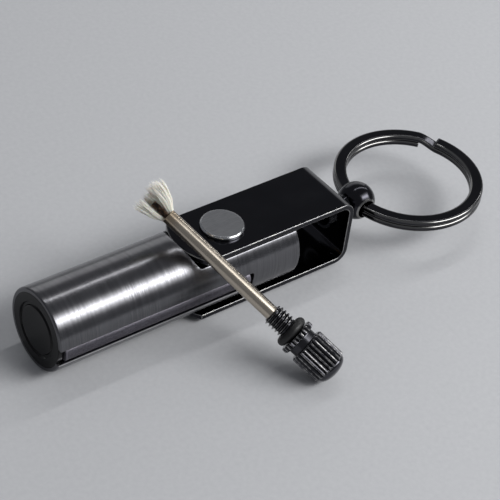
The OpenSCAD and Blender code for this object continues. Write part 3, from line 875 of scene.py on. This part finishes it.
# ---- Split ring -----------------------------------------------------------------------------
# Flattened spring wire wound twice round. The wire steps from the upper coil to the lower one
# over 20 degrees, and its two square ends stand at either side of that step. Black nickel.
ring_low, ring_high = box_mm("split_ring")
ring_middle = (ring_low + ring_high) / 2
band_w, coil_gap = 2.4, 0.04
wire_half_h = (ring_high - ring_low)[2] / 4 - coil_gap / 2
band_mid_r = (ring_high - ring_low)[0] / 2 - band_w / 2
step_from, step_to = math.radians(22), math.radians(42)
span, overlap = step_to - step_from, math.radians(2.5)
lap = 2 * math.pi - span
run = np.concatenate([np.linspace(-overlap, lap, 133)[:-1], np.linspace(lap, lap + span, 33)[:-1],
                      np.linspace(lap + span, 2 * lap + span + overlap, 133)])
turn = step_from - run
fall = np.clip((run - lap) / span, 0, 1)
level = (1 - 2 * fall ** 2 * (3 - 2 * fall)) * (wire_half_h + coil_gap / 2)
round_corner = np.linspace(0, math.pi / 2, 6)
wire_ease = 0.45
corner = np.stack([band_w / 2 - wire_ease * (1 - np.sin(round_corner)),
                   wire_half_h - wire_ease * (1 - np.cos(round_corner))], 1)
quarter = np.concatenate([[[0, wire_half_h], [band_w / 2 - wire_ease * 1.2, wire_half_h]], corner,
                          [[band_w / 2, wire_half_h - wire_ease * 1.2]]])
section = np.concatenate([quarter, quarter[::-1] * [1, -1], quarter[1:] * [-1, -1],
                          quarter[::-1][:-1] * [-1, 1], quarter[:1]])
# Painted highlight: the wire's rounded corners are made paler, to show as bright lines along its
# edges.
corner_gap = np.hypot(np.clip(band_w / 2 - 0.13 - np.abs(section[:, 0]), 0, None),
                      np.clip(wire_half_h - 0.13 - np.abs(section[:, 1]), 0, None))
wire_edge_painted_highlight = 0.85 * np.clip(1 - corner_gap / 0.28, 0, 1)


def wound(section, turn, level, shrink):
    """The wire's section carried round the ring: out from the middle and up to its level."""
    r = band_mid_r + section[None, :, 0] * shrink[:, None]
    return np.stack([r * np.cos(turn)[:, None], r * np.sin(turn)[:, None],
                     level[:, None] + section[None, :, 1] * shrink[:, None]], -1)


# Each end closes over three more sections, ever smaller, that lie within 0.004 radian.
shrink = np.concatenate([[0, 0.82, 0.95], np.ones(len(turn)), [0.95, 0.82, 0]])
end_in = 0.004
turn = np.concatenate([turn[:1] + [0, 0, end_in * 0.3], turn - np.concatenate(
    [[end_in * 0.6], np.zeros(len(turn) - 2), [-end_in * 0.6]]),
    turn[-1:] - [end_in * 0.3, 0, 0]])
level = np.concatenate([level[:1].repeat(3), level, level[-1:].repeat(3)])
coil_points = wound(section, turn, level, shrink) + ring_middle
ring = build("split_ring_coil", [grid(coil_points)], black_nickel, crease=50,
             values=[wire_edge_painted_highlight[None, :]])
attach(ring, "ring")
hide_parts("split_ring")


# ---- Match stem -----------------------------------------------------------------------------
# A drawn steel tube, 2.6 mm across, pressed into the cap and plated with a warm satin nickel. Its
# mouth is rounded over the wick and has taken a little straw colour from the flame.
match_turned = (np.array(Matrix.Rotation(math.radians(-64.2), 3, "Z"))
                @ np.array(Matrix.Rotation(math.radians(28.4), 3, "Y")))
stem_low, stem_high = box_mm("match_stem")
stem_l, stem_r, stem_bore = 24.0, 1.3, 1.05
open_end = (stem_low + stem_high) / 2 - match_turned @ [stem_l / 2, 0, 0]


def on_match(patch):
    """A patch given along the match, x from its open end, carried to where the match lies."""
    return placed(patch, match_turned, open_end)


warm_nickel, tree = new_finish("satin_warm_nickel")
# Electroless nickel over drawn steel: a warm pale grey with a satin shine that runs along the
# tube, fine drawn lines, duller patches where fingers hold it, and a straw tint by the wick.
surface = add(tree, "TexCoord").outputs["UV"]
drawn = add(tree, "TexNoise", {"Vector": add(tree, "Mapping", {"Vector": surface, "Scale": (1.4,
    62, 1)}), "Scale": 1.0, "Detail": 3.0})
patches_of_use = add(tree, "TexNoise", {"Vector": add(tree, "Mapping", {"Vector": surface,
    "Scale": (4, 5, 1)}), "Scale": 1.0, "Detail": 3.0})
length = add(tree, "SeparateXYZ", {0: surface})
heat = add(tree, "MapRange", {0: length, 1: 0.0, 2: 0.34, 3: 0.55, 4: 0.0},
    interpolation_type="SMOOTHSTEP")
plate = add(tree, "Mix", {0: drawn, 6: hex_colour("B2A899"), 7: hex_colour("C6BDB0")},
    data_type="RGBA").outputs[2]
plate = add(tree, "Mix", {0: heat, 6: plate, 7: hex_colour("9A8262")},
    data_type="RGBA").outputs[2]
shader = add(tree, "BsdfPrincipled", {
    "Base Color": plate, "Metallic": 1.0,
    "Roughness": add(tree, "MapRange", {0: patches_of_use, 1: 0.3, 2: 0.7, 3: 0.2, 4: 0.27}),
    "Normal": add(tree, "Bump", {"Height": drawn, "Distance": 0.000002, "Strength": 0.15})})
add(tree, "OutputMaterial", {"Surface": shader})

tube = eased([(stem_l, stem_bore), (0, stem_bore), (0, stem_r), (stem_l, stem_r)],
             [0, 0.08, 0.12, 0])
long_rows = np.stack([np.linspace(0.5, stem_l - 0.5, 24), np.full(24, stem_r)], 1)
tube = np.concatenate([tube[:-1], long_rows, tube[-1:], tube[:1]])
tube_points = turned(tube, 64)[0]
stem = build("match_tube", [on_match(grid(
    tube_points, along=tube[:, :1], around=np.linspace(0, 2 * math.pi * stem_r, 65)[None, :]))],
    warm_nickel)
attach(stem, "match")
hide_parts("match_stem")


# ---- Match cap ------------------------------------------------------------------------------
# Turned from brass bar, straight-knurled, grooved behind the first teeth and plated black nickel.
# An M4 thread on its stud screws into the body's mouth; the far end is a plain low dome.
knurled_nickel, tree = new_finish("knurled_black_nickel")
# Black nickel over a knurl: the crests are burnished pale; the valleys are darker and duller.
place = add(tree, "TexCoord").outputs["Object"]
wear_and_painted_light = add(tree, "Attribute", attribute_name="wear_and_painted_light").outputs["Fac"]
uneven = add(tree, "TexNoise", {"Vector": place, "Scale": 1.4 / MM, "Detail": 4.0})
wear = add(tree, "Math", {0: wear_and_painted_light, 1: uneven, 2: -0.06}, operation="MULTIPLY_ADD")
crest = add(tree, "MapRange", {0: wear, 1: 0.30, 2: 0.52, 3: 0.0, 4: 1.0})
valley = add(tree, "MapRange", {0: wear_and_painted_light, 1: 0.0, 2: 0.45, 3: 0.0, 4: 1.0})
plate = add(tree, "Mix", {0: valley, 6: hex_colour("161617"), 7: hex_colour("48484C")},
    data_type="RGBA").outputs[2]
plate = add(tree, "Mix", {0: crest, 6: plate, 7: hex_colour("9C9B9A")},
    data_type="RGBA").outputs[2]
shader = add(tree, "BsdfPrincipled", {
    "Base Color": plate, "Metallic": 1.0,
    "Roughness": add(tree, "MapRange", {0: valley, 1: 0.0, 2: 1.0, 3: 0.42, 4: 0.16}),
    "Normal": add(tree, "Bump", {"Height": uneven, "Distance": 0.00001, "Strength": 0.3})})
add(tree, "OutputMaterial", {"Surface": shader})

thread_l, collar_at, collar_l, groove_end, cap_end, dome_l = 3.6, 29.4, 1.05, 31.8, 37.5, 1.4
cap_r, neck_stud_r, groove_r, dome_r = 3.35, 1.4, 2.55, 2.95
knurl_deep, teeth, tooth_columns = 0.32, 24, 12
dome = np.linspace(0, math.pi / 2, 12)[1:, None]
outline = eased([(stem_l + thread_l - 0.1, 0), (stem_l + thread_l - 0.1, neck_stud_r),
                 (collar_at, neck_stud_r), (collar_at, cap_r - 0.25),
                 (collar_at + 0.2, cap_r - 0.05), (collar_at + collar_l - 0.2, cap_r - 0.05),
                 (collar_at + collar_l, cap_r - 0.25), (collar_at + collar_l, groove_r),
                 (groove_end, groove_r), (groove_end, cap_r - 0.3), (groove_end + 0.3, cap_r),
                 (cap_end - 0.3, cap_r), (cap_end, cap_r - 0.3), (cap_end, dome_r)],
                [0, 0, 0.12, 0.05, 0.05, 0.05, 0.05, 0.15, 0.15, 0.05, 0.06, 0.06, 0.05, 0], 3)
barrel_at = int(np.searchsorted(outline[:, 0], groove_end + 1.0))
barrel_rows = np.stack([np.linspace(groove_end + 0.6, cap_end - 0.6, 8), np.full(8, cap_r)], 1)
dome_rows = np.concatenate([cap_end + dome_l * np.sin(dome), dome_r * np.cos(dome)], 1)
outline = np.concatenate([outline[:barrel_at], barrel_rows, outline[barrel_at:], dome_rows])
outline[-1, 1] = 0
turns = np.linspace(0, 2 * math.pi, teeth * tooth_columns + 1)[None, :]


def knurled(outline, turns):
    """The turned outline, cut down wherever it stands above the knurl: flat-topped teeth with
    V valleys between them. Also how high each point stands between valley and crest."""
    across = np.abs(2 * np.mod(turns * teeth / (2 * math.pi), 1) - 1)
    tooth = np.clip((across - 0.06) / 0.74, 0, 1)
    cut = cap_r - knurl_deep * (1 - tooth)
    r = np.minimum(outline[:, 1:], cut)
    height = np.where(outline[:, 1:] > cap_r - knurl_deep, tooth, 0.5)
    # The groove and the stud's neck get a lower value, so they are darker.
    height = np.where((outline[:, 1:] < 2.7) & (outline[:, :1] < cap_end - 1), 0.34, height)
    return r, height


cap_points_r, cap_height = knurled(outline, turns)
cap_patch = grid(round_about(outline[:, :1], cap_points_r, turns), along=outline[:, :1],
                 around=turns * cap_r)
stud_root = 1.58
stud_patch, stud_height = threaded(stem_l, stem_l + thread_l, stud_root, 2.0, lead=0.25)
lids = [turned([(s, 0), (s, stud_root)]) for s in (stem_l, stem_l + thread_l)]
cap = build("match_knob", [on_match(p) for p in [cap_patch, stud_patch, *lids]], knurled_nickel,
            crease=32, values=[cap_height, 0.3 + 0.7 * stud_height, 0.3, 0.3])
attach(cap, "match")
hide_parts("match_cap")

# The seal is a moulded O-ring, with a trace of the mould's parting line round its widest part.
seal_s, seal_r, seal_wire = 28.5, 2.22, 0.8
loop = np.linspace(0, 2 * math.pi, 41)[:, None]
bead_line = 0.02 * np.exp(-((np.mod(loop, 2 * math.pi) - math.pi / 2) / 0.08) ** 2)
loop_r = seal_wire - 0.01 + bead_line * 0.5
o_ring = np.concatenate([seal_s + loop_r * np.cos(loop), seal_r + loop_r * np.sin(loop)], 1)
o_ring[-1] = o_ring[0]
seal = build("match_seal", [on_match(turned(o_ring))], seal_rubber)
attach(seal, "match")
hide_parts("match_o_ring")


# ---- Striker blade --------------------------------------------------------------------------
# A sliver of hardened steel held in the stem's mouth beside the wick: it scrapes the rod for the
# spark. Sheared to length, blued and stained brown by the heat.
burnt_steel, tree = new_finish("burnt_hardened_steel")
# Hardened steel that is lit and struck daily: blue-black scale with brown stains and bare scrapes.
place = add(tree, "TexCoord").outputs["Object"]
scale = add(tree, "TexNoise", {"Vector": place, "Scale": 1.9 / MM, "Detail": 5.0})
stain = add(tree, "MapRange", {0: scale, 1: 0.42, 2: 0.62, 3: 0.0, 4: 1.0})
scrape = add(tree, "MapRange", {0: scale, 1: 0.62, 2: 0.7, 3: 0.0, 4: 1.0})
tone = add(tree, "Mix", {0: stain, 6: hex_colour("2A2422"), 7: hex_colour("5C4839")},
    data_type="RGBA").outputs[2]
tone = add(tree, "Mix", {0: scrape, 6: tone, 7: hex_colour("8A837B")},
    data_type="RGBA").outputs[2]
shader = add(tree, "BsdfPrincipled", {
    "Base Color": tone, "Metallic": 0.9,
    "Roughness": add(tree, "MapRange", {0: stain, 1: 0.0, 2: 1.0, 3: 0.3, 4: 0.55}),
    "Normal": add(tree, "Bump", {"Height": scale, "Distance": 0.00003, "Strength": 0.6})})
add(tree, "OutputMaterial", {"Surface": shader})

half_turn = math.sqrt(0.5)
facing = np.array([[1, 0, 0], [0, half_turn, -half_turn], [0, half_turn, half_turn]])
blade_middle, blade_half = (-0.2, 0.425), (0.5, 0.2)        # across the fan, and towards it
blade_s = np.concatenate([[-3.2, -3.2, -3.19], np.linspace(-3.1, 3.9, 27), [3.98, 4.0, 4.0]])
blade_full = np.concatenate([[0, 0.9, 0.99], np.ones(27), [0.99, 0.9, 0]])[:, None]
blade_turn = np.linspace(0, 2 * math.pi, 33)[None, :]
edge_wave = 0.035 * (np.sin(blade_s * 9.1) + np.sin(blade_s * 5.3 + 1.0))[:, None]
blade_power = 0.32                             # a squarish section with rounded corners
side_y = np.sign(np.cos(blade_turn)) * np.abs(np.cos(blade_turn)) ** blade_power
side_z = np.sign(np.sin(blade_turn)) * np.abs(np.sin(blade_turn)) ** blade_power
blade = np.stack(np.broadcast_arrays(
    blade_s[:, None],
    blade_middle[0] + (blade_half[0] + edge_wave * np.sign(side_y)) * side_y * blade_full,
    blade_middle[1] + blade_half[1] * side_z * blade_full), -1) @ facing.T
blade[:, -1] = blade[:, 0]                     # closes the seam exactly
blade_piece = build("striker_sliver", [on_match(grid(blade))], burnt_steel, crease=40)
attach(blade_piece, "match")
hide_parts("striker_blade")


# ---- Wick -----------------------------------------------------------------------------------
# Twisted cotton yarn pulled through the stem and teased out at its mouth into about a dozen locks,
# fanned flat and swollen over the rim. It is darker and browner round the blade, near the mouth.
wick_cotton, tree = new_finish("teased_cotton")
# Bleached cotton yarn: matt, off-white and slightly see-through, with painted warm shade
# between strands.
# Real fibres are 0.015 mm thick; here one strand of 0.08 mm stands for a bundle of them.
place = add(tree, "TexCoord").outputs["Object"]
wear_and_painted_light = add(tree, "Attribute", attribute_name="wear_and_painted_light").outputs["Fac"]
mottle = add(tree, "TexNoise", {"Vector": place, "Scale": 0.9 / MM, "Detail": 4.0})
unshaded = add(tree, "MapRange", {0: wear_and_painted_light, 1: 0.0, 2: 0.45, 3: 0.0, 4: 1.0})
bright = add(tree, "MapRange", {0: wear_and_painted_light, 1: 0.4, 2: 1.0, 3: 0.0, 4: 1.0})
tone = add(tree, "Mix", {0: mottle, 6: hex_colour("EBE3D1"), 7: hex_colour("F7F2E7")},
    data_type="RGBA").outputs[2]
tone = add(tree, "Mix", {0: bright, 6: tone, 7: hex_colour("FFFDF7")},
    data_type="RGBA").outputs[2]
# Low values turn brown: painted shade in the cores, and the darkening near the blade.
tone = add(tree, "Mix", {0: unshaded, 6: hex_colour("6E5540"), 7: tone},
    data_type="RGBA").outputs[2]
shader = add(tree, "BsdfPrincipled", {
    "Base Color": tone, "Roughness": 0.85, "Sheen Weight": 0.25,
    "Subsurface Weight": 0.15, "Subsurface Scale": 0.0004,
    "Normal": add(tree, "Bump", {"Height": mottle, "Distance": 0.00004, "Strength": 0.5})})
add(tree, "OutputMaterial", {"Surface": shader})

# Each lock: where it leaves the mouth (across the fan, towards the viewer of the fan), how far it
# leans across and towards, how long it is, its half-width, and how many strands are on it.
locks = np.array([
    [-0.84, -0.05, -19, 1, 5.8, 0.34, 60],
    [-0.70, -0.35, -12, -9, 5.6, 0.42, 70],
    [-0.88, 0.10, -9, 3, 5.3, 0.34, 60],
    [-0.30, -0.45, -4, -12, 5.5, 0.42, 70],
    [-0.05, -0.35, 3, -4, 5.2, 0.44, 70],
    [0.20, -0.15, 6, 2, 5.6, 0.44, 75],
    [0.35, -0.45, 11, -11, 6.1, 0.44, 70],
    [0.62, 0.25, 12, 8, 6.0, 0.42, 75],
    [0.62, -0.10, 19, -2, 6.2, 0.42, 75],
    [0.72, 0.30, 21, 8, 5.8, 0.38, 65],
    [0.80, -0.25, 27, -8, 5.7, 0.36, 60]])
rng = np.random.default_rng(5)
strand_steps = 10
t = np.linspace(0, 1, strand_steps)


def lock_line(lock, t):
    """The middle of a lock at t from the mouth to its tip: it sets out along the stem, leans over
    within its first third, and then curls back a little."""
    y0, z0, lean_y, lean_z, length = lock[:5]
    away = np.clip(t / 0.35, 0, 1) ** 1.5 * 0.35 * 0.6 + np.clip(t - 0.1, 0, None)
    curl = -0.28 * t ** 3
    y = y0 + length * away * math.tan(math.radians(lean_y)) * (1 + curl)
    z = z0 + length * away * math.tan(math.radians(lean_z)) * (1 + curl)
    x = 0.7 - (length + 0.7) * t * math.cos(math.radians(math.hypot(lean_y, lean_z)) * 0.7)
    return np.stack([x, y, z], -1)


def strand(path, radius):
    """A three-sided strand along each path: corners at a third of a turn apart, closed to a point
    at both ends. Paths are (strands, steps, 3) and radii (strands, steps)."""
    side = np.linspace(0, 2 * math.pi, 4)
    ring_of = np.stack([0 * side, np.cos(side), np.sin(side)], -1)
    return path[:, :, None, :] + radius[:, :, None, None] * ring_of[None, None]


wick_patches, wick_values = [], []
blade_dark_y, blade_dark_z = -0.2, 0.45
for number, lock in enumerate(locks):
    half, count = lock[5], int(lock[6])
    # the lock's body: a tapering, fluted core
    t_core = np.linspace(0, 0.93, 16)[:, None]
    a = np.linspace(0, 2 * math.pi, 29)[None, :]
    swell = half * (0.86 + 0.42 * np.sin(np.pi * np.clip(t_core * 1.15, 0, 1))
                    - 0.62 * t_core ** 2)
    swell = swell * np.clip((0.96 - t_core) / 0.3, 0, 1) ** 0.6
    flute = 1 + 0.10 * np.sin(5 * a + number + 2.4 * t_core) + 0.07 * np.sin(9 * a - 3 * t_core)
    swell = np.where((t_core == 0) | (t_core == t_core[-1]), 0, swell)
    core = lock_line(lock, t_core[:, 0])[:, None, :] + np.stack(np.broadcast_arrays(
        0 * a * swell, 1.15 * swell * flute * np.cos(a), 0.8 * swell * flute * np.sin(a)), -1)
    near = np.hypot(core[..., 1] - blade_dark_y, core[..., 2] - blade_dark_z)
    # Painted shade: the core is darker than its strands, and darker in its flutes' grooves than on
    # their ridges. It is also darker near the blade, towards the mouth.
    core_painted_shade = (0.34 + 0.22 * (flute - 0.85) / 0.3 * 0.6
             - 0.4 * np.exp(-(near / 0.55) ** 2) * np.clip((core[..., 0] + 4.2) / 2.5, 0, 1))
    wick_patches.append(grid(core @ facing.T))
    wick_values.append(np.clip(core_painted_shade, 0, 1))
    # its strands
    turn = rng.uniform(0, 2 * math.pi, count)
    out = np.sqrt(rng.uniform(0.25, 1.0, count))
    share = rng.uniform(0.80, 1.03, count)
    flare = rng.uniform(0.7, 1.45, count)
    path = lock_line(lock, t[None, :] * share[:, None])
    spread_out = half * (0.9 + 0.35 * t[None, :] * flare[:, None]
                         + 0.9 * t[None, :] ** 4 * (flare[:, None] - 0.8))
    wave = 0.06 * np.sin(t[None, :] * rng.uniform(4, 9, count)[:, None]
                         + rng.uniform(0, 6, count)[:, None]) * t[None, :]
    path[..., 1] += 1.15 * out[:, None] * spread_out * np.cos(turn)[:, None] + wave
    path[..., 2] += 0.8 * out[:, None] * spread_out * np.sin(turn)[:, None] + wave[::-1]
    thick = 0.056 * (1 - 0.66 * t)[None, :] * rng.uniform(0.7, 1.15, count)[:, None]
    thick[:, 0] = thick[:, -1] = 0
    tubes = strand(path, thick)
    lightness = rng.uniform(0.45, 1.0, count)[:, None] * np.ones(strand_steps)
    # Each strand's lightness is random, and lower near the blade, towards the mouth.
    near = np.hypot(path[..., 1] - blade_dark_y, path[..., 2] - blade_dark_z)
    lightness = lightness - 0.55 * np.exp(-(near / 0.5) ** 2) * np.clip(
        (path[..., 0] + 3.9) / 2.0, 0, 1)
    for k in range(count):
        wick_patches.append(grid(tubes[k] @ facing.T))
        wick_values.append(np.clip(lightness[k], 0, 1)[:, None])
# the yarn inside the stem, three plies laid together
yarn_from, yarn_to = 0.3, 21
s_yarn = np.concatenate([[yarn_from], np.linspace(yarn_from, yarn_to, 60), [yarn_to]])[:, None]
a = np.linspace(0, 2 * math.pi, 37)[None, :]
yarn_r = np.full(len(s_yarn), 0.96)
yarn_r[[0, -1]] = 0
yarn = round_about(s_yarn, yarn_r[:, None] * (0.94 + 0.06 * np.cos(3 * a + s_yarn * 1.5)), a)
wick_patches.append(grid(yarn))
wick_values.append(0.3)
wick = build("wick_tuft", [on_match(p) for p in wick_patches], wick_cotton, crease=80,
             values=wick_values)
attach(wick, "match")
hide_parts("wick")
